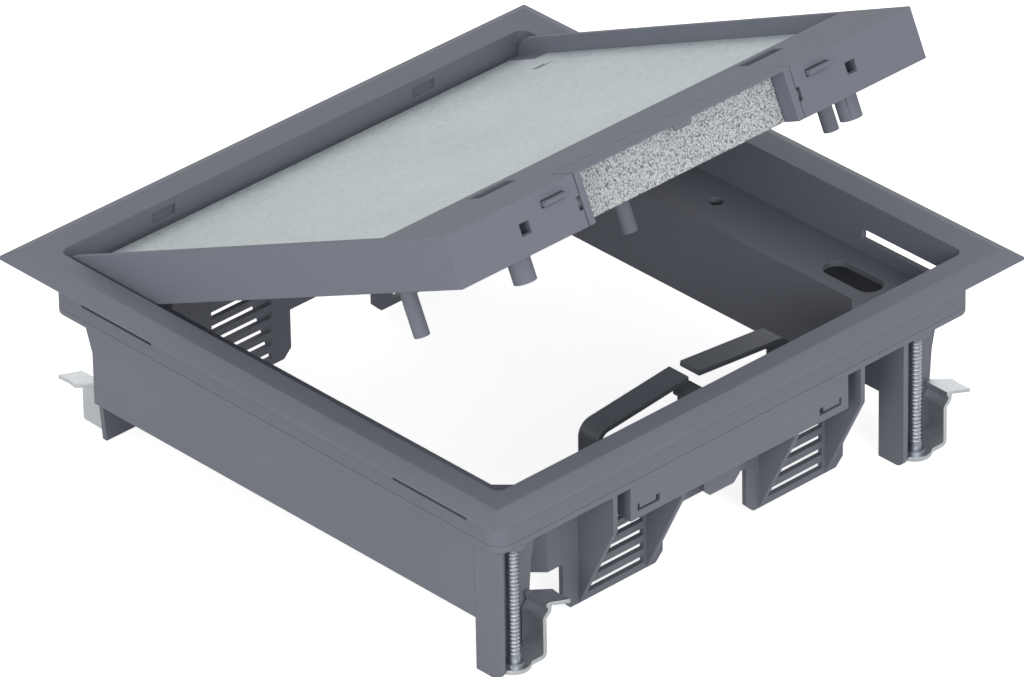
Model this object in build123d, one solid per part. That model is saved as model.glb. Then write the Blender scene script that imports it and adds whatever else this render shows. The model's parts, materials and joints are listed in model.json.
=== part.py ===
"""Floor socket insert: a square trim frame with a hinged lid, for a raised floor.

Millimetres. +Z is up and the origin is under the middle of the frame, level with
the foot of the four legs. The lid's free edge, with the cord outlet, faces -Y and
its hinge is at +Y. The lid stands partly open, as it is drawn in its rest place.
"""
from build123d import *
import math
import os

os.makedirs("parts", exist_ok=True)

# Overall sizes
floor_opening = 243.0
flange_overlap = 10.5
leg_depth = 76.0
opening_play = 3.0
running_clearance = 0.05
rest_opening = 24.9

# Trim frame
flange_height = 4.0
flange_edge = 0.6
crest_inset = 6.5
crest_width = 0.8
flange_inner_height = 3.0
collar_depth = 19.0
collar_wall = 2.5
collar_corner = 6.5
side_slot_from = 64.0
side_slot_to = 102.0
side_slot_drop = 9.0
side_slot_height = 3.0
catch_width = 11.2
catch_drop = 0.2
catch_height = 4.5
catch_depth = 1.6

# Moulded housing under the collar
wall = 2.3
ledge_thick = 2.5
housing_depth = 54.5
side_ledge_width = 28.5
end_ledge_width = 20.8
housing_corner_cut = 13.1
outer_wall_inset = 2.3
outer_wall_gap = 3.7
ledge_slot_width = 11.0
ledge_slot_length = 27.0
ledge_slot_inset = 17.0
ledge_slot_y = 74.0
ledge_hole_inset = 14.5
ledge_hole = 6.0
end_rib_half = 9.0
end_rib_inset = 9.5
end_rib_depth = 50.0
end_rib_corner = 3.0
apron_depth = 35.5
apron_half = 54.5
tongue_from = 40.0
tongue_to = 51.0
tongue_top = 29.5
tongue_bottom = 32.5
tongue_gap = 1.0

# Vented outlet brackets
bracket_inner = 21.0
bracket_outer = 70.4
gusset_inner = 27.2
gusset_outer = 63.0
gusset_thick = 2.2
gusset_nose_depth = 36.5
bracket_depth = 74.3
bracket_corner = 3.6
vent_count = 6
vent_pitch = 5.85
vent_height = 2.9
vent_length = 29.2
vent_foot = 2.9

# Corner columns and clamps
column_side_inset = 2.3
column_end_inset = 2.5
column_offset = 12.9
column_leg = 10.5
column_width = 24.2
column_taper = 4.0
column_foot_radius = 4.0
screw_from_leg = 9.0
screw_from_front = 3.0
screw_diameter = 5.0
screw_head = 7.0
screw_head_play = 0.2
screw_drive = 3.0
screw_drive_depth = 1.4
screw_end_lift = 0.6
screw_end_chamfer = 0.6
boss_diameter = 11.0
boss_depth = 28.0
nut_diameter = 7.4
nut_neck = 6.6
nut_lip = 0.4
nut_rivet = 0.7
nut_lift = 0.9
claw_sheet = 1.8
claw_foot_radius = 6.4
claw_web_x = 10.4
claw_web_from = 4.5
claw_web_to = 6.7
claw_height = 22.4
claw_jog = 2.5
claw_jog_height = 14.6
claw_bend = 1.4
claw_neck = 3.6
claw_prong_x = 20.5
claw_prong_y = 8.0
claw_notch_x = 17.6
claw_notch_y = 3.0
claw_tooth_x = 20.7
claw_tooth_y = 1.4
claw_shoulder_x = 14.5
claw_shoulder_y = 7.1
claw_shoulder_step = 2.0

# Lid
lid_side_gap = 1.5
lid_front_gap = 1.8
lid_depth = 20.0
lid_top = 4.0
lid_rear_gap = 1.0
lid_skirt = 2.2
lid_face = 2.5
bar_depth = 37.5
tray_depth = 6.5
plate_thick = 1.5
plate_play = 0.1
hinge_pin = 5.0
hinge_cheek = 8.5
lift_slot_x = 97.0
lift_slot_s = 196.0
lift_slot_length = 8.5
lift_slot_width = 4.0
peg_diameter = 6.0
peg_depth = 41.0
peg_s = 48.6
post_diameter = 8.7
post_depth = 30.0
post_gap = 27.5
post_s = 9.2
post_hole_play = 0.85
socket_size = 4.6
socket_drop = 8.1
socket_depth = 1.5
socket_gap = 27.1

# Lid latches
nose_width = 10.4
nose_drop = 4.3
nose_thick = 2.1
nose_reach = 2.6
nose_play = 0.3
latch_travel = 3.0
latch_width = 14.0
latch_from = 4.0
latch_to = 31.5
latch_gap = 12.0
finger_slot_shift = 1.0
finger_slot_length = 18.0
finger_slot_from = 27.0
finger_play = 0.5
finger_thick = 2.0
finger_drop = 1.0
guide_wall = 1.5
guide_lip = 1.3
guide_from = 8.0
guide_to = 24.0

# Cord outlet in the lid
flap_half = 53.0
flap_play = 0.3
flap_depth = 12.0
flap_strip = 3.5
flap_cheek = 3.0
flap_pivot_s = 3.6
flap_pivot_drop = 11.0
flap_pin = 5.0
flap_pin_reach = 1.7
lid_cheek = 2.5
foam_from = 7.3

# Cord arms behind the front wall
arm_width = 10.0
arm_thick = 2.2
arm_wall_gap = 2.7
arm_root_x = 47.0
arm_root_drop = 27.0
arm_knee_drop = 12.8
arm_tip_x = 2.6
arm_tip_drop = 8.6
arm_bend = 5.0
arm_barrel = 6.4
arm_pin = 2.6
catch_post_half = 4.2
catch_post_reach = 9.4
catch_post_drop = 15.0

# Places that follow from the sizes
floor_z = leg_depth
half_frame = floor_opening / 2 + flange_overlap
collar_out = floor_opening / 2 - opening_play
collar_in = collar_out - collar_wall
ledge_z = floor_z - collar_depth
ledge_under = ledge_z - ledge_thick
housing_foot = floor_z - housing_depth
housing_half_width = collar_out - side_ledge_width
housing_half_length = collar_out - end_ledge_width
wall_out_y = housing_half_length + wall
ledge_slot_x = collar_out - ledge_slot_inset
ledge_hole_x = collar_out - ledge_hole_inset
column_x = collar_out - column_side_inset
column_front = collar_out - column_end_inset
column_back = column_front - column_leg
outer_wall_end = column_back - wall - outer_wall_gap
arm_front = housing_half_length - arm_wall_gap
lid_z = floor_z + lid_top
lid_half = collar_in - lid_side_gap
lid_front = -(collar_in - lid_front_gap)
lid_round = lid_depth / 2
hinge_y = collar_in - lid_rear_gap - lid_round
hinge_z = lid_z - lid_round
web_z = lid_z - tray_depth - plate_thick
screw_x = column_x - screw_from_leg
screw_y = column_front - screw_from_front
inner_screw_x = screw_x - column_offset
claw_foot_z = nut_lift + nut_rivet
half_turn = 180
screw_places = {
    "front_left": (-screw_x, -screw_y),
    "front_right": (inner_screw_x, -screw_y),
    "rear_right": (screw_x, screw_y),
    "rear_left": (-inner_screw_x, screw_y),
}
catch_x = flap_half + latch_gap
finger_slot_x = catch_x + finger_slot_shift
post_x = flap_half + post_gap
socket_x = flap_half + socket_gap
finger_tab_from = finger_slot_from + finger_thick / 2
finger_slot_to = finger_tab_from + finger_thick + latch_travel + finger_play
hinge_axis = Axis((0, hinge_y, hinge_z), (-1, 0, 0))


def block(x, y, z):
    """A box between the two values given for each direction."""
    centre = Pos(sum(x) / 2, sum(y) / 2, sum(z) / 2)
    return centre * Box(abs(x[1] - x[0]), abs(y[1] - y[0]), abs(z[1] - z[0]))


def rod(x, y, z, diameter):
    """An upright cylinder between two heights."""
    return Pos(x, y, (z[0] + z[1]) / 2) * Cylinder(diameter / 2, abs(z[1] - z[0]))


def rod_x(x, y, z, diameter):
    """A cylinder along X."""
    turned = Rot(0, 90, 0) * Cylinder(diameter / 2, abs(x[1] - x[0]))
    return Pos((x[0] + x[1]) / 2, y, z) * turned


def rod_y(x, y, z, diameter):
    """A cylinder along Y."""
    turned = Rot(90, 0, 0) * Cylinder(diameter / 2, abs(y[1] - y[0]))
    return Pos(x, (y[0] + y[1]) / 2, z) * turned


def prism(sketch, z):
    """A flat outline drawn upwards between two heights."""
    return Pos(0, 0, min(z)) * extrude(sketch, abs(z[1] - z[0]))


def side_prism(points, x):
    """A (y, z) outline drawn along X between two places."""
    outline = make_face(Plane.YZ.offset(min(x)) * Polyline(*points, close=True))
    return extrude(outline, abs(x[1] - x[0]), dir=(1, 0, 0))


def turned_about(shape):
    """The same shape turned half a turn about the middle of the frame."""
    return shape.rotate(Axis.Z, half_turn)


def mirrored(shape):
    """The same shape on the other side of the lid's middle line."""
    return mirror(shape, about=Plane.YZ)


def opened(shape):
    """A lid piece, turned from its closed place to the rest place."""
    return shape.rotate(hinge_axis, rest_opening)


def save(name, *shapes):
    """One node: each solid in it is one physical piece."""
    solids = [solid for shape in shapes for solid in shape.solids()]
    whole = solids[0] if len(solids) == 1 else Compound(children=solids)
    export_step(whole, f"parts/{name}.step")


# Trim frame: bevelled flange on the floor, and the collar that goes through it

def trim_frame():
    crest = half_frame - crest_inset
    edge_z = floor_z + flange_edge
    crest_z = floor_z + flange_height
    outline = Rectangle(2 * half_frame, 2 * half_frame)
    rim = prism(outline, (floor_z, edge_z))
    rise = loft([
        Pos(0, 0, edge_z) * outline,
        Pos(0, 0, crest_z) * Rectangle(2 * crest, 2 * crest),
    ])
    inner_crest = crest - crest_width
    fall = loft([
        Pos(0, 0, floor_z + flange_inner_height) * Rectangle(2 * collar_in, 2 * collar_in),
        Pos(0, 0, crest_z) * Rectangle(2 * inner_crest, 2 * inner_crest),
    ])
    mouth = RectangleRounded(2 * collar_in, 2 * collar_in, collar_corner - collar_wall)
    shell = RectangleRounded(2 * collar_out, 2 * collar_out, collar_corner) - mouth
    collar = prism(shell, (ledge_z, floor_z))
    flange = rim + rise - fall - prism(mouth, (floor_z, crest_z))
    frame = flange + collar
    for side in (-1, 1):
        pin_wall = (side * collar_in, side * collar_out)
        frame -= rod_x(pin_wall, hinge_y, hinge_z, hinge_pin)
        for end in (-1, 1):
            slot_y = (end * side_slot_from, end * side_slot_to)
            slot_z = (floor_z - side_slot_drop - side_slot_height, floor_z - side_slot_drop)
            frame -= block(pin_wall, slot_y, slot_z)
            pocket_x = (side * (catch_x - catch_width / 2), side * (catch_x + catch_width / 2))
            pocket_y = (end * collar_in, end * (collar_in + catch_depth))
            pocket_z = (floor_z - catch_drop - catch_height, floor_z - catch_drop)
            frame -= block(pocket_x, pocket_y, pocket_z)
    return frame


# Housing: ledges round the opening, with walls that hang from their inner edge

def ring_outline(thickness):
    """The eight-sided outline of the opening, grown by a wall's thickness."""
    x = housing_half_width + thickness
    y = housing_half_length + thickness
    corner = housing_half_width + housing_half_length - housing_corner_cut
    corner += math.hypot(thickness, thickness)
    points = [(x, corner - x), (corner - y, y), (y - corner, y), (-x, corner - x)]
    points += [(-px, -py) for px, py in points]
    return make_face(Polyline(*points, close=True))


def housing_ring():
    shelf = RectangleRounded(2 * collar_out, 2 * collar_out, collar_corner)
    ledge = prism(shelf - ring_outline(0), (ledge_under, ledge_z))
    skirt = prism(ring_outline(wall) - ring_outline(0), (housing_foot, ledge_under))
    return ledge + skirt


def side_box():
    """The left-hand ledge, its inner wall and the outer wall behind the column."""
    reach = (-collar_out, -bracket_outer)
    box = housing_ring() & block(reach, (-collar_out, collar_out), (housing_foot, ledge_z))
    outer = (-column_x, outer_wall_inset - column_x)
    span = (wall - column_back, outer_wall_end)
    box += block(outer, span, (housing_foot, ledge_under))
    for end in (-1, 1):
        slot = Pos(-ledge_slot_x, end * ledge_slot_y) * SlotOverall(ledge_slot_length, ledge_slot_width, 90)
        box -= prism(slot, (ledge_under, ledge_z))
        hole = post_diameter + 2 * post_hole_play
        box -= rod(-post_x, end * (lid_front + post_s), (ledge_under, ledge_z), hole)
    box -= rod(-ledge_hole_x, 0, (ledge_under, ledge_z), ledge_hole)
    head_hole = screw_head + 2 * screw_head_play
    for x, y in screw_places.values():
        if x < 0:
            box -= rod(x, y, (ledge_under, ledge_z), head_hole)
    return box


def end_ledge():
    """The front ledge, with the wall between the two brackets and a short rib under it."""
    reach = (-bracket_outer, bracket_outer)
    strip = housing_ring() & block(reach, (-collar_out, 0), (housing_foot, ledge_z))
    for side in (-1, 1):
        gap = (side * bracket_inner, side * bracket_outer)
        strip -= block(gap, (-wall_out_y, 0), (housing_foot, ledge_under))
    rib_y = end_rib_inset - collar_out
    rib = block((-end_rib_half, end_rib_half), (rib_y, rib_y + wall),
                (floor_z - end_rib_depth, ledge_under))
    corners = rib.edges().filter_by(Axis.Y).group_by(Axis.Z)[0]
    return strip + chamfer(corners, end_rib_corner)


def apron():
    """The front plate under the collar, with its two clip tongues."""
    plate = block((-apron_half, apron_half), (-collar_out, wall - collar_out),
                  (floor_z - apron_depth, ledge_under))
    through = (-collar_out, wall - collar_out)
    foot = floor_z - tongue_bottom
    for side in (-1, 1):
        inner = side * tongue_from
        outer = side * tongue_to
        step = side * tongue_gap
        legs = (foot, floor_z - tongue_top)
        plate -= block((inner, inner + 2 * step), through, legs)
        plate -= block((outer - step, outer), through, legs)
        plate -= block((inner, outer), through, (foot, foot + tongue_gap))
    return plate


def bracket():
    """The left-hand front bracket: a vented plate between two gussets."""
    plate_x = (-bracket_outer, -bracket_inner)
    foot = floor_z - bracket_depth
    plate = block(plate_x, (-wall_out_y, -housing_half_length), (foot, ledge_under))
    corners = plate.edges().filter_by(Axis.Y).group_by(Axis.Z)[0]
    plate = chamfer(corners, bracket_corner)
    middle = -(gusset_inner + gusset_outer) / 2
    vent_x = (middle - vent_length / 2, middle + vent_length / 2)
    for row in range(vent_count):
        low = foot + vent_foot + row * vent_pitch
        plate -= block(vent_x, (-wall_out_y, -housing_half_length), (low, low + vent_height))
    nose = floor_z - gusset_nose_depth
    outline = [
        (-collar_out, ledge_under),
        (-collar_out, nose),
        (-wall_out_y, foot),
        (-wall_out_y, ledge_under),
    ]
    outer = side_prism(outline, (-gusset_outer, gusset_thick - gusset_outer))
    inner = side_prism(outline, (-gusset_inner - gusset_thick, -gusset_inner))
    behind = block(plate_x, (-collar_out, wall - collar_out), (floor_z - apron_depth, ledge_under))
    return plate + outer + (inner - behind)


# Corner columns: a leg and a back plate round each clamp screw

def corner_column():
    """The front left column; the others are turned or shifted copies."""
    leg_x = (-column_x, wall - column_x)
    front = -column_front
    back = -column_back
    leg = block(leg_x, (front, back), (0, ledge_under))
    toe = leg.edges().filter_by(Axis.X).group_by(Axis.Z)[0].sort_by(Axis.Y)[0]
    leg = fillet(toe, column_foot_radius)
    right = column_width - column_x
    outline = Polyline(
        (-column_x, 0), (right - column_taper, 0), (right, ledge_under), (-column_x, ledge_under),
        close=True,
    )
    plate = extrude(make_face(Plane.XZ.offset(-back - wall) * outline), wall)
    boss_z = (floor_z - boss_depth, ledge_under)
    boss = rod(-screw_x, -screw_y, boss_z, boss_diameter)
    boss += block((wall - column_x, -screw_x), (front, back), boss_z)
    column = leg + plate + boss
    return column - rod(-screw_x, -screw_y, boss_z, screw_diameter + 2 * running_clearance)


def clamp_screw():
    """A long screw that hangs from the ledge, drawn at the middle of the frame."""
    head = rod(0, 0, (ledge_under, ledge_z - screw_head_play), screw_head)
    shank = rod(0, 0, (screw_end_lift, ledge_under), screw_diameter)
    shank = chamfer(shank.edges().group_by(Axis.Z)[0], screw_end_chamfer)
    top = ledge_z - screw_head_play
    drive = prism(RegularPolygon(screw_drive / 2, 6, major_radius=False), (top - screw_drive_depth, top))
    return head + shank - drive


def clamp_nut():
    """The threaded bush on the screw, riveted over the claw's foot on both sides."""
    neck_z = (claw_foot_z, claw_foot_z + claw_sheet)
    rivet = rod(0, 0, (nut_lift, claw_foot_z), nut_diameter)
    neck = rod(0, 0, neck_z, nut_neck)
    lip = rod(0, 0, (neck_z[1], neck_z[1] + nut_lip), nut_diameter)
    bore = rod(0, 0, (nut_lift, neck_z[1] + nut_lip), screw_diameter + 2 * running_clearance)
    return rivet + neck + lip - bore


def clamp_claw():
    """Bent sheet: a foot round the nut, a web with a jog, and a forked top."""
    half = claw_sheet / 2
    web = claw_web_x + half
    tip = web + claw_jog
    top = claw_foot_z + claw_height
    route = FilletPolyline(
        (0, claw_foot_z + half),
        (web, claw_foot_z + half),
        (web, claw_foot_z + claw_jog_height),
        (tip, claw_foot_z + claw_jog_height + claw_jog),
        (tip, top - half),
        (tip + claw_web_x, top - half),
        radius=claw_bend,
    )
    strip = trace(route, line_width=claw_sheet)
    width = (-claw_web_from, claw_web_to)
    sheet = extrude(Plane.XZ.offset(-width[1]) * strip, width[1] - width[0])
    outline = Polyline(
        (0, -claw_web_from), (web + half, -claw_web_from), (web + half, claw_web_to),
        (0, claw_web_to), close=True,
    )
    low = prism(make_face(outline), (claw_foot_z, claw_foot_z + claw_jog_height))
    fork = Polyline(
        (claw_web_x, -claw_neck), (tip, -claw_neck), (claw_prong_x, -claw_prong_y),
        (claw_notch_x, -claw_notch_y), (claw_tooth_x, claw_tooth_y),
        (claw_shoulder_x, claw_shoulder_y), (tip, claw_neck + claw_shoulder_step),
        (claw_web_x, claw_neck), close=True,
    )
    high = prism(make_face(fork), (claw_foot_z + claw_jog_height, top))
    prongs = (top - claw_sheet, top)
    beyond_web = block((web + half, claw_tooth_x), (-claw_prong_y, claw_shoulder_y), prongs)
    wide = prism(make_face(fork), prongs) & beyond_web
    foot = rod(0, 0, (claw_foot_z, claw_foot_z + claw_sheet), 2 * claw_foot_radius)
    claw = (sheet & (low + high)) + foot + wide
    return claw - rod(0, 0, (claw_foot_z, claw_foot_z + claw_sheet), nut_neck + 2 * running_clearance)


# Lid, drawn closed and then turned to its rest place

def at_lid(s):
    """The place along Y of a distance from the closed lid's front edge."""
    return lid_front + s


def below_lid(drop):
    """The height of a depth under the closed lid's top."""
    return lid_z - drop


def lid_frame():
    body = block((-lid_half, lid_half), (lid_front, hinge_y), (below_lid(lid_depth), lid_z))
    body += rod_x((-lid_half, lid_half), hinge_y, hinge_z, lid_depth)
    inside = lid_half - lid_skirt
    rear = collar_in
    body -= block((-inside, inside), (at_lid(bar_depth), rear), (web_z, lid_z))
    bar_back = bar_depth - lid_skirt
    body -= block((-inside, inside), (at_lid(lid_skirt), at_lid(bar_back)),
                  (below_lid(lid_depth), below_lid(lid_face)))
    under = lid_half - hinge_cheek
    hollow_z = (below_lid(lid_depth), web_z - lid_face)
    back_web = hinge_y - lid_round
    body -= block((-inside, inside), (at_lid(bar_depth), back_web), hollow_z)
    body -= block((-under, under), (back_web, hinge_y), hollow_z)
    barrel = rod_x((-under, under), hinge_y, hinge_z, lid_depth - 2 * lid_face)
    body -= barrel & block((-under, under), (hinge_y, rear), hollow_z)
    length = hinge_y + lid_round - lid_front
    plan = RectangleRounded(2 * lid_half, 2 * length, collar_corner - collar_wall)
    body &= prism(Pos(0, lid_front) * plan, (below_lid(lid_depth), lid_z))
    for side in (-1, 1):
        body += hinge_lug(side) + lid_posts(side) + outlet_cheek(side) + latch_guides(side)
        bore = (side * (lid_half - hinge_cheek), side * lid_half)
        body -= rod_x(bore, hinge_y, hinge_z, hinge_pin + 2 * running_clearance)
        body = body - latch_cuts(side) - outlet_socket(side) - outlet_slot(side)
    body += rod(0, at_lid(peg_s), (below_lid(peg_depth), web_z), peg_diameter)
    mouth = flap_half + flap_play
    body -= block((-mouth, mouth), (lid_front, at_lid(flap_depth + flap_play)),
                  (below_lid(lid_depth), lid_z))
    return body


def hinge_lug(side):
    """The thick end of the barrel round a hinge pin, level with the plate's top."""
    lug_x = (side * (lid_half - hinge_cheek), side * (lid_half - lid_skirt))
    low = web_z - lid_face
    lug = block(lug_x, (hinge_y - hinge_cheek, hinge_y + lid_round), (low, web_z + plate_thick))
    barrel = rod_x(lug_x, hinge_y, hinge_z, lid_depth)
    return lug & (barrel + block(lug_x, (hinge_y - hinge_cheek, hinge_y), (low, lid_z)))


def lid_posts(side):
    """A slim peg over the ledge slot and a stouter post by the latch."""
    peg = rod(side * ledge_slot_x, at_lid(peg_s), (below_lid(peg_depth), web_z), peg_diameter)
    post = rod(side * post_x, at_lid(post_s), (below_lid(post_depth), below_lid(lid_face)),
               post_diameter)
    return peg + post


def outlet_cheek(side):
    """A wall beside the outlet, which carries one of the flap's pins."""
    near = side * (flap_half + flap_play)
    return block((near, near + side * lid_cheek), (lid_front, at_lid(flap_depth)),
                 (below_lid(lid_depth), below_lid(lid_face)))


def outlet_slot(side):
    """The slot, open at the lid's front face, that the flap's pin snaps into."""
    near = side * flap_half
    span = (near, near + side * (flap_pin_reach + flap_play))
    slot_half = flap_pin / 2 + running_clearance
    pivot_z = below_lid(flap_pivot_drop)
    mouth = block(span, (lid_front, at_lid(flap_pivot_s)), (pivot_z - slot_half, pivot_z + slot_half))
    return mouth + rod_x(span, at_lid(flap_pivot_s), pivot_z, 2 * slot_half)


def latch_guides(side):
    """Two hooked rails under the bar, which hold the latch up."""
    rails = Part()
    lip_top = nose_drop + nose_thick + nose_play
    lip_low = lip_top + guide_lip
    for edge in (-1, 1):
        inner = latch_width / 2 + nose_play
        face = side * catch_x + edge * inner
        back = face + edge * guide_wall
        lip = face - edge * guide_lip
        along = (at_lid(guide_from), at_lid(guide_to))
        rails += block((face, back), along, (below_lid(lip_low), below_lid(lid_face)))
        rails += block((lip, face), along, (below_lid(lip_low), below_lid(lip_top)))
    return rails


def latch_cuts(side):
    """The window for the latch's nose and the slot for a finger."""
    half = nose_width / 2 + nose_play
    low = nose_drop + nose_thick + nose_play
    window = block((side * catch_x - half, side * catch_x + half), (lid_front, at_lid(lid_skirt)),
                   (below_lid(low), below_lid(nose_drop - nose_play)))
    slot_x = (side * finger_slot_x - finger_slot_length / 2,
              side * finger_slot_x + finger_slot_length / 2)
    slot = block(slot_x, (at_lid(finger_slot_from), at_lid(finger_slot_to)),
                 (below_lid(lid_face), lid_z))
    return window + slot


def outlet_socket(side):
    """A small square recess in the lid's front face."""
    reach = (side * socket_x - socket_size / 2, side * socket_x + socket_size / 2)
    return block(reach, (lid_front, lid_front + socket_depth),
                 (below_lid(socket_drop + socket_size), below_lid(socket_drop)))


def lid_plate():
    """The steel sheet that lines the tray, with one slot for a lifting hook."""
    half = lid_half - lid_skirt - plate_play
    rear = hinge_y + lid_round - lid_face
    sheet_z = (web_z, web_z + plate_thick)
    sheet = block((-half, half), (at_lid(bar_depth + plate_play), rear), sheet_z)
    slot = SlotOverall(lift_slot_length, lift_slot_width)
    sheet -= prism(Pos(lift_slot_x, at_lid(lift_slot_s)) * slot, sheet_z)
    notch = lid_half - hinge_cheek - plate_play
    for side in (-1, 1):
        sheet -= block((side * notch, side * lid_half),
                       (hinge_y - hinge_cheek - plate_play, collar_in), sheet_z)
    return sheet


def lid_latch():
    """The right-hand latch: a nose with a slope, a slide and a finger tab."""
    slide_z = (below_lid(nose_drop + nose_thick), below_lid(nose_drop))
    half = nose_width / 2
    slope = [
        (at_lid(latch_from), slide_z[1]),
        (at_lid(-nose_reach), slide_z[1]),
        (at_lid(-nose_reach / 2), slide_z[0]),
        (at_lid(latch_from), slide_z[0]),
    ]
    nose = side_prism(slope, (catch_x - half, catch_x + half))
    wide = latch_width / 2
    slide = block((catch_x - wide, catch_x + wide), (at_lid(latch_from), at_lid(latch_to)), slide_z)
    tab_half = finger_slot_length / 2 - nose_play
    tab = block((finger_slot_x - tab_half, finger_slot_x + tab_half),
                (at_lid(finger_tab_from), at_lid(finger_tab_from + finger_thick)),
                (slide_z[0], below_lid(finger_drop)))
    return nose + slide + tab


def outlet_flap():
    """The flap over the cord outlet: a top strip between two pinned cheeks."""
    depth = (lid_front, at_lid(flap_depth))
    flap = block((-flap_half, flap_half), depth, (below_lid(flap_strip), lid_z))
    for side in (-1, 1):
        outer = side * flap_half
        flap += block((outer - side * flap_cheek, outer), depth, (below_lid(lid_depth), lid_z))
        flap += rod_x((outer, outer + side * flap_pin_reach), at_lid(flap_pivot_s),
                      below_lid(flap_pivot_drop), flap_pin)
    return flap


def outlet_foam():
    """The foam strip that closes round the cords."""
    half = flap_half - flap_cheek
    return block((-half, half), (at_lid(foam_from), at_lid(flap_depth)),
                 (below_lid(lid_depth), below_lid(flap_strip)))


# Cord arms: two springy fingers that keep the cords at the outlet

def cable_arm():
    """The left-hand arm, with a barrel on its pin."""
    root_z = floor_z - arm_root_drop
    knee_z = floor_z - arm_knee_drop
    route = FilletPolyline(
        (-arm_root_x, root_z), (-arm_root_x, knee_z), (-arm_tip_x, floor_z - arm_tip_drop),
        radius=arm_bend,
    )
    strip = trace(route, line_width=arm_thick)
    span = (-arm_front, arm_width - arm_front)
    arm = extrude(Plane.XZ.offset(-span[1]) * strip, arm_width)
    arm += rod_y(-arm_root_x, span, root_z, arm_barrel)
    return arm - rod_y(-arm_root_x, span, root_z, arm_pin + 2 * running_clearance)


def arm_pivot():
    """The left-hand arm's pin, which stands on the bracket's plate."""
    root_z = floor_z - arm_root_drop
    return rod_y(-arm_root_x, (-housing_half_length, arm_width - arm_front), root_z, arm_pin)


def arm_catch():
    """The hooked post between the arms' tips."""
    back = -housing_half_length
    reach = (back, back + catch_post_reach)
    top = floor_z - catch_post_drop
    stem = block((-catch_post_half / 2, catch_post_half / 2), reach, (housing_foot, top))
    head = block((-catch_post_half, catch_post_half), reach, (top - arm_thick, top))
    return stem + head


save("trim_frame", trim_frame())
save("side_box_left", side_box())
save("side_box_right", turned_about(side_box()))
save("front_ledge", end_ledge())
save("rear_ledge", turned_about(end_ledge()))
save("front_apron", apron())
save("rear_apron", turned_about(apron()))
save("bracket_front_left", bracket())
save("bracket_front_right", mirrored(bracket()))
save("bracket_rear_right", turned_about(bracket()))
save("bracket_rear_left", turned_about(mirrored(bracket())))

for corner, (x, y) in screw_places.items():
    place = Pos(x, y, 0) * Rot(0, 0, half_turn if y > 0 else 0)
    column_home = Pos(screw_x, screw_y, 0)
    save(f"corner_column_{corner}", place * (column_home * corner_column()))
    save(f"clamp_screw_{corner}", place * clamp_screw())
    save(f"clamp_nut_{corner}", place * clamp_nut())
    save(f"clamp_claw_{corner}", place * clamp_claw())

pin_inner = lid_half - hinge_cheek
pin_pair = [rod_x((side * pin_inner, side * collar_out), hinge_y, hinge_z, hinge_pin)
            for side in (-1, 1)]
save("hinge_pins", *pin_pair)
save("lid_frame", opened(lid_frame()))
save("lid_plate", opened(lid_plate()))
save("lid_latch_right", opened(lid_latch()))
save("lid_latch_left", opened(mirrored(lid_latch())))
save("outlet_flap", opened(outlet_flap()))
save("outlet_foam", opened(outlet_foam()))
save("cable_arm_left", cable_arm())
save("cable_arm_right", mirrored(cable_arm()))
save("cable_arm_pins", arm_pivot(), mirrored(arm_pivot()))
save("arm_catch", arm_catch())
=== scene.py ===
import json
import math

import bpy
from mathutils import Matrix, Vector

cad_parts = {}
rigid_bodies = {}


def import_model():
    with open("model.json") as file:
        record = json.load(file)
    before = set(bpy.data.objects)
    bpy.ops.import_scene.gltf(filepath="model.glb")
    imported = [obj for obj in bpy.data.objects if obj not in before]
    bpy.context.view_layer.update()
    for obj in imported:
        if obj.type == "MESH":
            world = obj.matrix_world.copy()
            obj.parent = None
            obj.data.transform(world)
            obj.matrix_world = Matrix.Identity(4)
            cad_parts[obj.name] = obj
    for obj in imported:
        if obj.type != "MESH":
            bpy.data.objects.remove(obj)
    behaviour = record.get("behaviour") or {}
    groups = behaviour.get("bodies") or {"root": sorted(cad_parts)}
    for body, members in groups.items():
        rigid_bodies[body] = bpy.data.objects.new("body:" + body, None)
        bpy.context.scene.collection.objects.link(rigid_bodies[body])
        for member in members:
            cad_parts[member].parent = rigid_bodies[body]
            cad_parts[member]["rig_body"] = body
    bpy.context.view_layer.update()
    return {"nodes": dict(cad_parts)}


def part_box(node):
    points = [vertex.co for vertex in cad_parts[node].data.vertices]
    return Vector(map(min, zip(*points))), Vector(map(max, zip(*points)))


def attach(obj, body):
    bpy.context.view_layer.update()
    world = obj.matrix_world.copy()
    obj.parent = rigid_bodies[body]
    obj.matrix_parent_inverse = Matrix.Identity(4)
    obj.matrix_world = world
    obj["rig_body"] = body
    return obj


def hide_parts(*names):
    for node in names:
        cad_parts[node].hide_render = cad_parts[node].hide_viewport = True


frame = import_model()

nodes = frame["nodes"]

# The studio
# The insert stands on a white table under even, soft light. The camera looks down on its
# near corner from far off through a long lens, so the frame's sides stay almost parallel.
camera_place = (-2.1855, -2.3496, 1.9930)
camera_turn = 42.926
camera_elevation = 31.297
camera_roll = 1.026
camera_lens = 362.5
camera_sensor = 36.0

camera_data = bpy.data.cameras.new("camera")
camera_data.lens = camera_lens
camera_data.sensor_width = camera_sensor
camera_data.clip_start = 0.1
camera_data.clip_end = 50.0
camera = bpy.data.objects.new("camera", camera_data)
bpy.context.collection.objects.link(camera)
camera.matrix_world = (
    Matrix.Translation(camera_place)
    @ Matrix.Rotation(math.radians(-camera_turn), 4, "Z")
    @ Matrix.Rotation(math.radians(90.0 - camera_elevation), 4, "X")
    @ Matrix.Rotation(math.radians(-camera_roll), 4, "Z")
)
bpy.context.scene.camera = camera
bpy.context.scene.view_settings.view_transform = "Standard"


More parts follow.
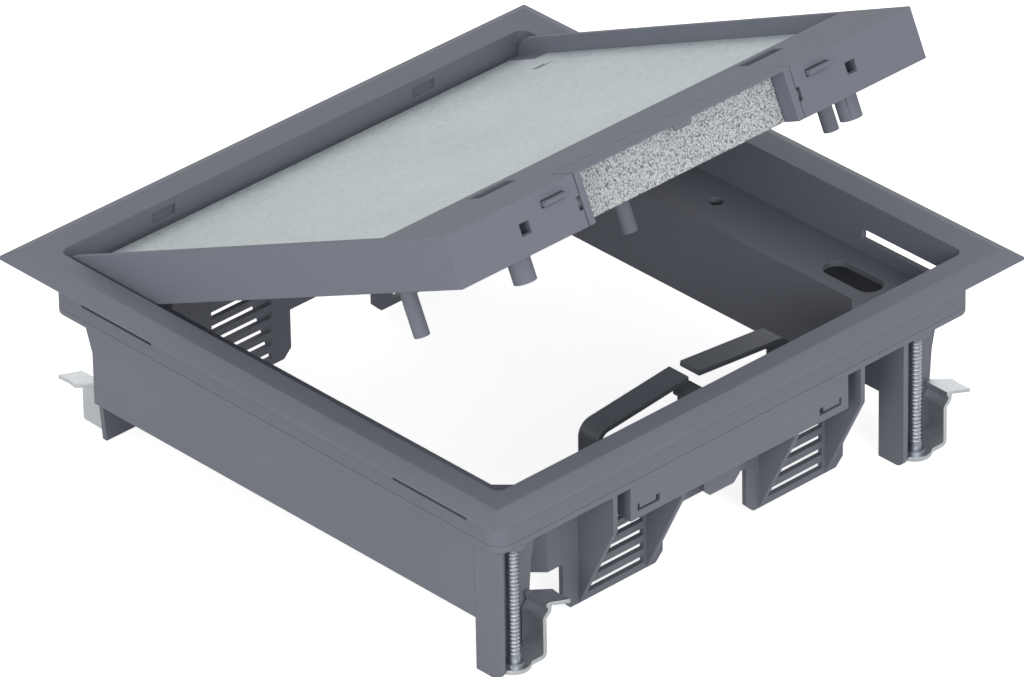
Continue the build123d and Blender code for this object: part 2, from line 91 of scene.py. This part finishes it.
def soft_lamp(name, place, size, power):
    """A square softbox that faces the middle of the insert."""
    lamp_data = bpy.data.lights.new(name, "AREA")
    lamp_data.size = size
    lamp_data.energy = power
    lamp = bpy.data.objects.new(name, lamp_data)
    bpy.context.collection.objects.link(lamp)
    lamp.location = place
    lamp.rotation_euler = (-Vector(place)).to_track_quat("-Z", "Y").to_euler()


soft_lamp("front_softbox", place=(-0.8, -3.0, 1.7), size=1.6, power=30.0)
soft_lamp("side_softbox", place=(-3.2, -1.3, 0.95), size=1.3, power=27.0)
soft_lamp("top_softbox", place=(-0.6, -0.4, 3.4), size=2.4, power=6.0)


class Shade:
    """One socket of a material. Arithmetic on it adds Math nodes to the same material."""

    def __init__(self, tree, socket):
        self.tree = tree
        self.socket = socket

    def node(self, kind, settings, sockets, output=0):
        """Any other node: its settings come first, then its sockets' values or links."""
        made = self.tree.nodes.new("ShaderNode" + kind)
        stops = settings.get("stops", ())
        for extra in range(len(stops) - 2):
            made.color_ramp.elements.new(0.5)
        for stop, (position, colour) in zip(made.color_ramp.elements if stops else (), stops):
            stop.position = position
            stop.color = (*colour, 1.0)
        for setting, value in settings.items():
            if setting != "stops":
                setattr(made, setting, value)
        for name, value in sockets.items():
            if isinstance(value, Shade):
                self.tree.links.new(value.socket, made.inputs[name])
            else:
                made.inputs[name].default_value = value
        return Shade(self.tree, made.outputs[output])

    def math(self, operation, first, second):
        return self.node("Math", {"operation": operation}, {0: first, 1: second})

    def __add__(self, other):
        return self.math("ADD", self, other)

    __radd__ = __add__

    def __sub__(self, other):
        return self.math("SUBTRACT", self, other)

    def __rsub__(self, other):
        return self.math("SUBTRACT", other, self)

    def __mul__(self, other):
        return self.math("MULTIPLY", self, other)

    __rmul__ = __mul__

    def blend(self, dark, light):
        """A colour between the two given, with this value as the share of the second."""
        return self.node("Mix", {"data_type": "RGBA"}, {0: self, 6: dark, 7: light}, 2)


def paint(red, green, blue):
    """A colour as it is read on a screen, 0 to 255, turned into the shader's own scale."""
    linear = []
    for level in (red / 255, green / 255, blue / 255):
        linear.append(level / 12.92 if level <= 0.04045 else ((level + 0.055) / 1.055) ** 2.4)
    return (*linear, 1.0)


def new_finish(name):
    """An empty material, with its output, its shader and the place that patterns read."""
    finish = bpy.data.materials.new(name)
    finish.use_nodes = True
    tree = finish.node_tree
    tree.nodes.clear()
    shader = tree.nodes.new("ShaderNodeBsdfPrincipled")
    output = tree.nodes.new("ShaderNodeOutputMaterial")
    tree.links.new(shader.outputs["BSDF"], output.inputs["Surface"])
    place = Shade(tree, tree.nodes.new("ShaderNodeTexCoord").outputs["Object"])
    return finish, shader, place


def fit(shader, **sockets):
    """Sets the shader's sockets: a value stays on the socket, and a Shade is linked to it."""
    for name, value in sockets.items():
        socket = shader.inputs[name.replace("_", " ")]
        if isinstance(value, Shade):
            value.tree.links.new(value.socket, socket)
        else:
            socket.default_value = value


table_side = 9.0
table_white = paint(250, 250, 250)
table_glow = 0.80

bpy.ops.object.select_all(action="DESELECT")
bpy.ops.mesh.primitive_grid_add(x_subdivisions=2, y_subdivisions=2, size=table_side)
table_top = bpy.context.active_object
table_top.name = "table_top"
table_finish, table_shader, _ = new_finish("white table")
table_tree = table_finish.node_tree
table_rays = table_tree.nodes.new("ShaderNodeLightPath")
table_seen = Shade(table_tree, table_rays.outputs["Is Camera Ray"])
fit(
    table_shader,
    Base_Color=table_white,
    Roughness=0.9,
    Emission_Color=table_white,
    Emission_Strength=table_glow * table_seen,
)
table_top.data.materials.append(table_finish)

room_white = (1.0, 1.0, 1.0, 1.0)
room_level = 0.60
backdrop_level = 1.0

world = bpy.data.worlds.new("studio")
bpy.context.scene.world = world
world.use_nodes = True
air = world.node_tree
air.nodes.clear()
ray = air.nodes.new("ShaderNodeLightPath")
seen_ray = Shade(air, ray.outputs["Is Camera Ray"])
mirrored_ray = Shade(air, ray.outputs["Is Glossy Ray"])
through_ray = Shade(air, ray.outputs["Is Transmission Ray"])
room = seen_ray.node("Background", {}, {"Color": room_white, "Strength": room_level})
backdrop = seen_ray.node("Background", {}, {"Color": room_white, "Strength": backdrop_level})
shown = seen_ray.math("MINIMUM", seen_ray + mirrored_ray + through_ray, 1.0)
sky = seen_ray.node("MixShader", {}, {0: shown, 1: room, 2: backdrop})
air.links.new(sky.socket, air.nodes.new("ShaderNodeOutputWorld").inputs["Surface"])


# Trim frame
# One square moulding in grey plastic: a bevelled flange that lies on the floor, and the
# collar under it. Its surface is spark-eroded, which leaves a fine, even, matt grain.
frame_grey = paint(118, 121, 131)
frame_edge_round = 0.0003
moulding_weld = 0.000004
moulding_angle = math.radians(33.0)
flat_angle = math.radians(0.4)
seed_size = 0.0001
touch = 0.0001
plastic_tones = (0.90, 1.10)
slot_sill_level = 0.064
slot_sill_inside = 0.1159
slot_sill_drop = 0.0015


def only(piece):
    """Selects one piece and makes it active, with all else deselected."""
    bpy.ops.object.select_all(action="DESELECT")
    piece.select_set(True)
    bpy.context.view_layer.objects.active = piece


def rejoin():
    """Merges the points that came together, with the faces between them that closed up."""
    bpy.ops.mesh.select_all(action="SELECT")
    bpy.ops.mesh.remove_doubles(threshold=moulding_weld)
    bpy.ops.mesh.dissolve_limited(angle_limit=flat_angle)
    bpy.ops.mesh.select_all(action="DESELECT")
    bpy.ops.object.mode_set(mode="OBJECT")


def merged_copy(node, name):
    """A closed, merged copy of a CAD node's mesh, flat faces joined, to be worked on."""
    piece = bpy.data.objects.new(name, nodes[node].data.copy())
    bpy.context.collection.objects.link(piece)
    piece.data.materials.clear()
    only(piece)
    bpy.ops.mesh.customdata_custom_splitnormals_clear()
    bpy.ops.object.mode_set(mode="EDIT")
    rejoin()
    return piece


def ease_edges(piece, width):
    """Rounds the sharp edges a little, as moulding or tumbling leaves them."""
    only(piece)
    ease = piece.modifiers.new("eased edges", "BEVEL")
    ease.width = width
    ease.segments = 2
    ease.limit_method = "ANGLE"
    ease.angle_limit = moulding_angle
    ease.use_clamp_overlap = False
    bpy.ops.object.modifier_apply(modifier=ease.name)
    bpy.ops.object.shade_smooth_by_angle(angle=moulding_angle)
    flatten = piece.modifiers.new("flat faces stay flat", "WEIGHTED_NORMAL")
    flatten.keep_sharp = True
    bpy.ops.object.modifier_apply(modifier=flatten.name)


def choose_points(piece, inside):
    """Selects those points of a piece that lie where the test says, in edit mode."""
    only(piece)
    bpy.ops.object.mode_set(mode="EDIT")
    bpy.ops.mesh.select_mode(type="VERT")
    bpy.ops.mesh.select_all(action="DESELECT")
    bpy.ops.object.mode_set(mode="OBJECT")
    for point in piece.data.vertices:
        point.select = inside(point.co)
    bpy.ops.object.mode_set(mode="EDIT")


def add_row(piece, height):
    """Adds a row of points round a piece at one height."""
    only(piece)
    bpy.ops.object.mode_set(mode="EDIT")
    bpy.ops.mesh.select_all(action="SELECT")
    bpy.ops.mesh.bisect(plane_co=(0.0, 0.0, height), plane_no=(0.0, 0.0, 1.0))
    bpy.ops.object.mode_set(mode="OBJECT")


def shift_points(piece, inside, step):
    """Moves those points of a piece that lie where the test says."""
    choose_points(piece, inside)
    bpy.ops.transform.translate(value=step)
    rejoin()


def line_up_points(piece, inside, axis, level):
    """Brings those points of a piece that lie where the test says onto one level of an axis."""
    scale, centre = [1.0, 1.0, 1.0], [0.0, 0.0, 0.0]
    scale[axis], centre[axis] = 0.0, level
    choose_points(piece, inside)
    bpy.ops.transform.resize(value=scale, center_override=centre)
    rejoin()


def single_point(name, place):
    """A mesh of one point, left in edit mode, from which an outline is drawn on."""
    bpy.ops.object.select_all(action="DESELECT")
    bpy.ops.mesh.primitive_plane_add(size=seed_size)
    piece = bpy.context.active_object
    piece.name = name
    bpy.ops.object.mode_set(mode="EDIT")
    bpy.ops.mesh.select_all(action="SELECT")
    bpy.ops.mesh.merge(type="CENTER")
    bpy.ops.transform.translate(value=place)
    return piece


def cut_plate(name, outline, thickness):
    """A plate: its outline is drawn from point to point, filled, and drawn out to thickness."""
    plate = single_point(name, outline[0])
    for start, end in zip(outline, outline[1:]):
        step = Vector(end) - Vector(start)
        bpy.ops.mesh.extrude_region_move(TRANSFORM_OT_translate={"value": step})
    bpy.ops.mesh.select_all(action="SELECT")
    bpy.ops.mesh.edge_face_add()
    bpy.ops.mesh.select_all(action="SELECT")
    bpy.ops.mesh.extrude_region_move(TRANSFORM_OT_translate={"value": thickness})
    bpy.ops.mesh.select_all(action="SELECT")
    bpy.ops.mesh.normals_make_consistent(inside=False)
    bpy.ops.object.mode_set(mode="OBJECT")
    return plate


def carry(piece, finish, node):
    """Gives a piece its finish, and lets it move with the body of a CAD node."""
    piece.data.materials.clear()
    piece.data.materials.append(finish)
    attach(piece, nodes[node]["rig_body"])


def finish_copy(piece, node, finish, width):
    """Eases a copy's edges and stands it in the CAD node's place, in its own finish."""
    ease_edges(piece, width)
    carry(piece, finish, node)
    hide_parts(node)


def dress(node, finish, width, suffix="moulded", moves=()):
    """Copies a CAD node, moves the points that are given, and finishes the copy."""
    piece = merged_copy(node, f"{node}_{suffix}")
    for inside, step in moves:
        shift_points(piece, inside, step)
    finish_copy(piece, node, finish, width)


def moulded_plastic(name, colour, grain_size, grain_depth, roughness, shine=0.5):
    """Matt moulded plastic: a fine grain, with faint clouds in its tone and gloss."""
    finish, shader, place = new_finish(name)
    cloud = place.node("TexNoise", {}, {"Vector": place, "Scale": 22.0, "Detail": 3.0})
    speck = place.node("TexNoise", {}, {"Vector": place, "Scale": 1.0 / grain_size, "Detail": 2.0})
    flow = place.node("TexNoise", {}, {"Vector": place, "Scale": 140.0, "Detail": 2.0})
    dark_share, light_share = plastic_tones
    darker = (*(level * dark_share for level in colour[:3]), 1.0)
    lighter = (*(level * light_share for level in colour[:3]), 1.0)
    tone = 0.5 * cloud + 0.35 * speck + 0.15 * flow
    grain = place.node(
        "Bump", {}, {"Strength": 0.35, "Distance": grain_depth, "Height": speck + 0.3 * flow}
    )
    fit(
        shader,
        Base_Color=tone.blend(darker, lighter),
        Roughness=roughness - 0.06 + 0.12 * cloud,
        Specular_IOR_Level=shine,
        Normal=grain,
    )
    return finish


def slot_sill(point):
    """The lower edge of the long slots in the collar's sides."""
    return abs(point.z - slot_sill_level) < touch and abs(point.x) > slot_sill_inside


frame_plastic = moulded_plastic(
    "frame plastic", frame_grey,
    grain_size=0.0005, grain_depth=0.00006, roughness=0.54, shine=0.25,
)
dress(
    "trim_frame", frame_plastic, frame_edge_round,
    moves=[(slot_sill, (0.0, 0.0, -slot_sill_drop))],
)


# Housing mouldings
# Ledges, side walls, aprons, vented brackets and corner columns, in the same grey plastic.
# They aren't seen once the floor is laid, so their moulds are plainer and a little glossier.
# Thin ribs and short return walls stiffen them between the columns and the aprons.
housing_grey = paint(114, 117, 127)
housing_edge_round = 0.00018
housing_nodes = ["side_box_left", "side_box_right", "front_ledge", "rear_ledge"]
housing_nodes += ["front_apron", "rear_apron"]
corners = ["front_left", "front_right", "rear_right", "rear_left"]
housing_nodes += [f"bracket_{corner}" for corner in corners]
boss_foot = 0.048
boss_lift = 0.0045
plate_edge_from = 0.0105
plate_row = 0.036
ledge_under = 0.0545
# A height of the back plate's edge, and how far it is moved out there. The added row of
# points goes first, while it is still a row.
plate_spreads = ((plate_row, 0.0025), (0.0, 0.0023), (ledge_under, 0.0053))
moulding_wall = 0.0023


def corner_frame(corner):
    """The axis of a corner's clamp screw, and which way round the corner's parts stand."""
    low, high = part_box(f"clamp_screw_{corner}")
    return (low + high) / 2, 1.0 if corner.startswith("front") else -1.0


def from_axis(point, axis, side):
    """How far a point lies from the screw's axis: outwards, and along the frame."""
    return side * (point.x - axis.x), side * (point.y - axis.y)


def boss_end(point):
    """The lower end of the boss round a clamp screw."""
    return abs(point.z - boss_foot) < touch


housing_plastic = moulded_plastic(
    "housing plastic", housing_grey, grain_size=0.0009, grain_depth=0.00005, roughness=0.46
)
for node in housing_nodes:
    dress(node, housing_plastic, housing_edge_round)
for corner in corners:
    axis, side = corner_frame(corner)
    column = merged_copy(f"corner_column_{corner}", f"corner_column_{corner}_moulded")
    add_row(column, plate_row)
    for height, spread in plate_spreads:
        def plate_edge(point):
            """The back plate's outer edge, which flares out to the ledge, at this height."""
            x, y = from_axis(point, axis, side)
            return x > plate_edge_from and y > 0.0 and abs(point.z - height) < touch

        shift_points(column, plate_edge, (side * spread, 0.0, 0.0))
    shift_points(column, boss_end, (0.0, 0.0, boss_lift))
    finish_copy(
        column, f"corner_column_{corner}", housing_plastic, housing_edge_round
    )


def housing_plate(name, outline, thickness, half_turn):
    """A thin wall of the housing, drawn at one end and turned to the other where it repeats."""
    side = -1.0 if half_turn else 1.0
    outline = [(side * x, side * y, z) for x, y, z in outline]
    thickness = (side * thickness[0], side * thickness[1], thickness[2])
    plate = cut_plate(name, outline, thickness)
    ease_edges(plate, housing_edge_round)
    carry(plate, housing_plastic, "front_ledge")


apron_end = 0.0545
apron_inside = 0.1162
apron_foot = 0.0405
wall_outside = 0.100
rib_x = 0.0853
rib_from = 0.1030
rib_to = 0.0910
rib_foot = 0.0276
flare_x = 0.1162
flare_from = 0.0994
flare_to = 0.1030
flare_foot = 0.043

for end, half_turn in (("front", False), ("rear", True)):
    for side in (-1, 1):
        housing_plate(
            f"apron_return_{end}_{'left' if side < 0 else 'right'}",
            [
                (side * apron_end, -apron_inside, ledge_under),
                (side * apron_end, -wall_outside, ledge_under),
                (side * apron_end, -wall_outside, apron_foot),
                (side * apron_end, -apron_inside, apron_foot),
            ],
            (-side * moulding_wall, 0.0, 0.0),
            half_turn,
        )
    housing_plate(
        f"column_rib_{end}",
        [
            (rib_x, -rib_from, ledge_under),
            (rib_x, -rib_to, ledge_under),
            (rib_x, -rib_to, rib_foot),
            (rib_x, -rib_from, rib_foot),
        ],
        (moulding_wall, 0.0, 0.0),
        half_turn,
    )
    housing_plate(
        f"outer_wall_flare_{end}",
        [
            (flare_x, -flare_from, ledge_under),
            (flare_x, -flare_to, ledge_under),
            (flare_x, -flare_from, flare_foot),
        ],
        (-moulding_wall, 0.0, 0.0),
        half_turn,
    )


# Clamp screws
# Four long zinc-plated steel screws that hang from the ledge. The coarse thread is rolled,
# so its crests are rounded, and a plain pilot end below it stands in the claw's foot.
thread_pitch = 0.0016
thread_crest = 0.00247
thread_root = 0.00186
thread_from = 0.0071
thread_to = 0.0545
thread_sides = 28
spare_turns = 3
thread_smooth = math.radians(50.0)
flank_share = 0.8
crown_share = 0.2
sleeve_overlap = 0.0005
screw_edge_round = 0.00012


def zinc_plate(name, bright, dull, metal, roughness):
    """Bright zinc: tight crystals that each catch the light a little differently."""
    finish, shader, place = new_finish(name)
    crystal = place.node("TexVoronoi", {}, {"Vector": place, "Scale": 1500.0}, 1)
    level = place.node("RGBToBW", {}, {"Color": crystal})
    haze = place.node("TexNoise", {}, {"Vector": place, "Scale": 120.0, "Detail": 4.0})
    tone = 0.55 * level + 0.45 * haze
    ripple = place.node("Bump", {}, {"Strength": 0.04, "Distance": 0.00004, "Height": haze})
    fit(
        shader,
        Base_Color=tone.blend(dull, bright),
        Metallic=metal,
        Roughness=roughness - 0.03 + 0.06 * haze,
        Normal=ripple,
    )
    return finish


screw_zinc = zinc_plate(
    "screw zinc", paint(196, 200, 207), paint(134, 139, 147), metal=0.85, roughness=0.34
)


def thread_sleeve(name, x, y):
    """One turn's outline is drawn from a single point, then wound up the screw."""
    sleeve = single_point(name, (thread_root, 0.0, 0.0))
    rise = thread_pitch / 4
    flank = (thread_crest - thread_root) * flank_share
    crown = (thread_crest - thread_root) * crown_share
    for step in (
        (flank, 0.0, rise), (crown, 0.0, rise / 2), (0.0, 0.0, rise / 2),
        (-crown, 0.0, rise / 2), (-flank, 0.0, rise), (0.0, 0.0, rise / 2),
    ):
        bpy.ops.mesh.extrude_region_move(TRANSFORM_OT_translate={"value": step})
    bpy.ops.object.mode_set(mode="OBJECT")
    wind = sleeve.modifiers.new("wind", "SCREW")
    wind.angle = math.radians(-360.0)
    wind.screw_offset = thread_pitch
    wind.iterations = math.ceil((thread_to - thread_from) / thread_pitch) + spare_turns
    wind.steps = thread_sides
    wind.render_steps = thread_sides
    wind.use_merge_vertices = True
    wind.merge_threshold = 0.00001
    wind.use_normal_calculate = True
    bpy.ops.object.modifier_apply(modifier=wind.name)
    bpy.ops.object.mode_set(mode="EDIT")
    bpy.ops.mesh.select_all(action="SELECT")
    bpy.ops.transform.translate(value=(0.0, 0.0, thread_from - spare_turns / 2 * thread_pitch))
    for height, upwards in ((thread_from, -1.0), (thread_to, 1.0)):
        bpy.ops.mesh.select_all(action="SELECT")
        bpy.ops.mesh.bisect(
            plane_co=(0.0, 0.0, height), plane_no=(0.0, 0.0, upwards),
            use_fill=True, clear_outer=True,
        )
    bpy.ops.mesh.select_all(action="SELECT")
    bpy.ops.mesh.normals_make_consistent(inside=False)
    bpy.ops.transform.translate(value=(x, y, 0.0))
    bpy.ops.object.mode_set(mode="OBJECT")
    bpy.ops.object.shade_smooth_by_angle(angle=thread_smooth)
    return sleeve


for corner in corners:
    node = f"clamp_screw_{corner}"
    axis, _ = corner_frame(corner)
    ends = merged_copy(node, f"{node}_ends")
    pilot = merged_copy(node, f"{node}_pilot")
    for piece, height, keep_upper in (
        (ends, thread_to - sleeve_overlap, True), (pilot, thread_from + sleeve_overlap, False),
    ):
        only(piece)
        bpy.ops.object.mode_set(mode="EDIT")
        bpy.ops.mesh.select_all(action="SELECT")
        bpy.ops.mesh.bisect(
            plane_co=(0.0, 0.0, height), plane_no=(0.0, 0.0, 1.0), use_fill=True,
            clear_inner=keep_upper, clear_outer=not keep_upper,
        )
        bpy.ops.object.mode_set(mode="OBJECT")
        ease_edges(piece, screw_edge_round)
    sleeve = thread_sleeve(f"{node}_thread", axis.x, axis.y)
    for piece in (ends, pilot, sleeve):
        carry(piece, screw_zinc, node)
    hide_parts(node)


# Clamp claws and their bushes
# Each claw is one strip of zinc-plated sheet steel, blanked and bent: a foot, a jogged web
# and a forked top. A small steel bush, swaged into the foot, carries it on the screw.
claw_edge_round = 0.00022
bush_edge_round = 0.0001
notch = (0.0176, -0.0030)
notch_fill = 0.0025
claw_reach = 0.001
neck_from = 0.0158
neck_outside = 0.01495
neck_edges = (-0.0045, 0.0067)
jog_from = 0.0150
jog_to = 0.0200
jog_lift = 0.0018

claw_zinc = zinc_plate(
    "claw zinc", paint(232, 236, 238), paint(206, 211, 214), metal=0.94, roughness=0.32
)
for corner in corners:
    axis, side = corner_frame(corner)

    def in_notch(point):
        """The inner corner of the fork, which the real sheet doesn't have so deep."""
        x, y = from_axis(point, axis, side)
        return abs(x - notch[0]) < claw_reach and abs(y - notch[1]) < claw_reach

    def on_neck(point):
        """The web's neck, whose edges run straight on up from the web below."""
        return point.z > neck_from and from_axis(point, axis, side)[0] < neck_outside

    def on_jog(point):
        """The jog of the web, which sits just under the top."""
        return jog_from < point.z < jog_to

    claw = merged_copy(f"clamp_claw_{corner}", f"clamp_claw_{corner}_sheet")
    shift_points(claw, in_notch, (side * notch_fill, 0.0, 0.0))
    for edge in neck_edges:
        def on_edge(point):
            """The one side of the neck that goes to this edge."""
            return on_neck(point) and edge * from_axis(point, axis, side)[1] > 0.0

        line_up_points(claw, on_edge, 1, axis.y + side * edge)
    shift_points(claw, on_jog, (0.0, 0.0, jog_lift))
    finish_copy(claw, f"clamp_claw_{corner}", claw_zinc, claw_edge_round)
    dress(f"clamp_nut_{corner}", screw_zinc, bush_edge_round, "bush")


# Lid frame
# A tray moulding in the same grey plastic: a deep bar along the free edge, skirts on three
# sides, a rounded hinge edge, and posts and pegs that reach down through the ledge. The
# bar's two square sockets are deep and closed at the back, so they look dark from outside.
lid_grey = paint(119, 122, 133)
lid_edge_round = 0.00030

lid_opening = math.radians(24.9)
lid_hinge = (0.105, 0.070)
lid_front = -0.1142
lid_top = 0.080
lid_back = Vector((0.0, math.cos(lid_opening), -math.sin(lid_opening)))
lid_up = Vector((0.0, math.sin(lid_opening), math.cos(lid_opening)))


def on_lid(x, back, drop):
    """A place on the open lid: how far behind its front face, and under its top."""
    hinge = Vector((0.0, *lid_hinge))
    behind = lid_front + back - lid_hinge[0]
    above = lid_top - drop - lid_hinge[1]
    return hinge + Vector((x, 0.0, 0.0)) + behind * lid_back + above * lid_up


socket_x = 0.0801
socket_half = 0.0023
socket_drop = 0.0104
socket_ahead = 0.0010
socket_depth = 0.0060
pocket_wall = 0.0008
pocket_from = 0.0020


def socket_block(name, middle, half, start, end):
    """A square block in the lid's front wall, from one depth behind its face to another."""
    outline = []
    for across, down in ((-half, -half), (half, -half), (half, half), (-half, half)):
        outline.append(on_lid(middle + across, start, socket_drop + down))
    return cut_plate(name, outline, (end - start) * lid_back)


def cut_out(piece, punch):
    """Cuts the punch's shape out of a piece."""
    only(piece)
    opening = piece.modifiers.new("opening", "BOOLEAN")
    opening.operation = "DIFFERENCE"
    opening.object = punch
    bpy.ops.object.modifier_apply(modifier=opening.name)


lid_plastic = moulded_plastic(
    "lid plastic", lid_grey,
    grain_size=0.0005, grain_depth=0.00006, roughness=0.56, shine=0.18,
)
bare_lid = merged_copy("lid_frame", "lid_frame_moulded")
for end, middle in (("left", -socket_x), ("right", socket_x)):
    punch = socket_block("socket_punch", middle, socket_half, -socket_ahead, socket_depth)
    pocket = socket_block(
        f"lid_socket_{end}", middle, socket_half + pocket_wall,
        pocket_from, socket_depth + pocket_wall,
    )
    for piece in (bare_lid, pocket):
        cut_out(piece, punch)
    bpy.data.objects.remove(punch)
    bpy.ops.object.shade_smooth_by_angle(angle=moulding_angle)
    carry(pocket, lid_plastic, "lid_frame")
finish_copy(bare_lid, "lid_frame", lid_plastic, lid_edge_round)
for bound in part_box("lid_frame"):
    def past_side(point):
        """The hinge corner's points, which easing the edges pushes out past the lid's side."""
        return point.x * bound.x > 0.0 and abs(point.x) > abs(bound.x) + moulding_weld

    line_up_points(bare_lid, past_side, 0, bound.x)


# Steel plate
# Hot-dip galvanised sheet that lies in the lid's tray and takes the floor covering. The
# zinc froze in fine crystals, so the plate is pale and speckled and has no mirror in it.
plate_edge_round = 0.00015


def galvanised(name, pale, grey):
    """Galvanised sheet: fine spangle over broad, faint clouds."""
    finish, shader, place = new_finish(name)
    spangle = place.node("TexVoronoi", {}, {"Vector": place, "Scale": 700.0}, 1)
    level = place.node("RGBToBW", {}, {"Color": spangle})
    fine = place.node("TexNoise", {}, {"Vector": place, "Scale": 1300.0, "Detail": 2.0})
    cloud = place.node("TexNoise", {}, {"Vector": place, "Scale": 18.0, "Detail": 4.0})
    tone = 0.35 * level + 0.30 * fine + 0.35 * cloud
    skin = place.node("Bump", {}, {"Strength": 0.10, "Distance": 0.00003, "Height": fine + level})
    fit(
        shader,
        Base_Color=tone.blend(grey, pale),
        Metallic=0.55,
        Roughness=0.46 + 0.16 * level,
        Normal=skin,
    )
    return finish


plate_steel = galvanised("galvanised sheet", paint(222, 231, 233), paint(168, 178, 181))
dress("lid_plate", plate_steel, plate_edge_round, "sheet")


# Latches and outlet flap
# Small mouldings in the lid's plastic. The latches slide in the bar, and their noses spring
# out of its front face; the flap covers the cord outlet and turns on its two moulded pins.
small_edge_round = 0.0002
flap_inside = 0.050
flap_strip = 0.0035
flap_lip = 0.0009
tab_half = 0.0050
tab_foot = 0.0037
tab_drop = 0.0032
tab_behind = 0.0001
tab_thick = 0.0012


def lip_edge(point):
    """The lower front edge of the flap's strip, which tapers to a thin lip."""
    corner = on_lid(math.copysign(flap_inside, point.x), 0.0, flap_strip)
    return (point - corner).length < 2 * touch


for node in ("lid_latch_left", "lid_latch_right"):
    dress(node, lid_plastic, small_edge_round)
dress(
    "outlet_flap", lid_plastic, small_edge_round,
    moves=[(lip_edge, (flap_strip - flap_lip) * lid_up)],
)
finger_tab = cut_plate(
    "outlet_flap_finger_tab",
    [
        on_lid(-tab_half, tab_behind, flap_lip / 2),
        on_lid(tab_half, tab_behind, flap_lip / 2),
        on_lid(tab_foot, tab_behind, tab_drop),
        on_lid(-tab_foot, tab_behind, tab_drop),
    ],
    tab_thick * lid_back,
)
ease_edges(finger_tab, small_edge_round)
carry(finger_tab, lid_plastic, "outlet_flap")


# Foam strip
# Grey open-cell foam, cut from a sheet and glued behind the flap, where it closes round the
# cords. Its cut face is rough, with pale cell walls and pits of about a millimetre; the pits
# are darkened with painted shade.
foam_voxel = 0.0007
foam_cell = 0.0009
foam_roughness = 0.00035
foam_front = 0.0073
foam_lift = 0.00095
foam_pale = paint(207, 210, 213)
# The dark colour is painted shade, laid in the pores where the bump sinks them.
foam_pore_shade = paint(100, 104, 108)
pore_stops = ((0.33, (0.0, 0.0, 0.0)), (0.60, (1.0, 1.0, 1.0)))


def open_cell_foam(name, pale, dark):
    """Cut open-cell foam: torn cells in two sizes, bright walls, and pores darkened with painted
    shade where the bump sinks them.
    """
    finish, shader, place = new_finish(name)
    cells = place.node("TexVoronoi", {}, {"Vector": place, "Scale": 1.0 / foam_cell})
    crumbs = place.node("TexNoise", {}, {"Vector": place, "Scale": 1500.0, "Detail": 3.0})
    pores = place.node(
        "ValToRGB", {"stops": pore_stops}, {"Fac": 0.35 * (1.0 - cells) + 0.75 * crumbs}
    )
    level = place.node("RGBToBW", {}, {"Color": pores})
    pits = place.node("Bump", {}, {"Strength": 0.8, "Distance": 0.0004, "Height": level})
    # Painted shade: the colour darkens with the same level that sinks the pits.
    fit(shader, Base_Color=level.blend(dark, pale), Roughness=0.95, Normal=pits)
    return finish


def foam_brow(point):
    """The foam's upper front edge, which reaches up under the flap's thin lip."""
    corner = on_lid(math.copysign(flap_inside, point.x), foam_front, flap_strip)
    return (point - corner).length < 2 * touch


foam = merged_copy("outlet_foam", "outlet_foam_strip")
shift_points(foam, foam_brow, foam_lift * lid_up)
cells_mesh = foam.modifiers.new("cells", "REMESH")
cells_mesh.mode = "VOXEL"
cells_mesh.voxel_size = foam_voxel
bpy.ops.object.modifier_apply(modifier=cells_mesh.name)
torn = bpy.data.textures.new("torn cells", "CLOUDS")
torn.noise_scale = 2 * foam_cell
torn.noise_depth = 2
tear = foam.modifiers.new("tear", "DISPLACE")
tear.texture = torn
tear.texture_coords = "LOCAL"
tear.strength = -foam_roughness
tear.mid_level = 0.0
bpy.ops.object.modifier_apply(modifier=tear.name)
bpy.ops.object.shade_smooth()
carry(foam, open_cell_foam("open cell foam", foam_pale, foam_pore_shade), "outlet_foam")
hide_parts("outlet_foam")


# Cord arms
# Two springy arms in a darker, tougher plastic, which meet at a hooked post behind the
# outlet and keep the cords there. Each turns on a small steel pin at its root.
arm_grey = paint(92, 96, 103)
arm_edge_round = 0.0002

arm_plastic = moulded_plastic(
    "arm plastic", arm_grey, grain_size=0.0007, grain_depth=0.00004, roughness=0.40
)
for node in ("cable_arm_left", "cable_arm_right", "arm_catch"):
    dress(node, arm_plastic, arm_edge_round)


# Pins
# Plain ground steel pins: one at each end of the lid's hinge edge, pressed into the collar,
# and one under each cord arm.
pin_edge_round = 0.00015

for node in ("hinge_pins", "cable_arm_pins"):
    dress(node, screw_zinc, pin_edge_round, "ground")
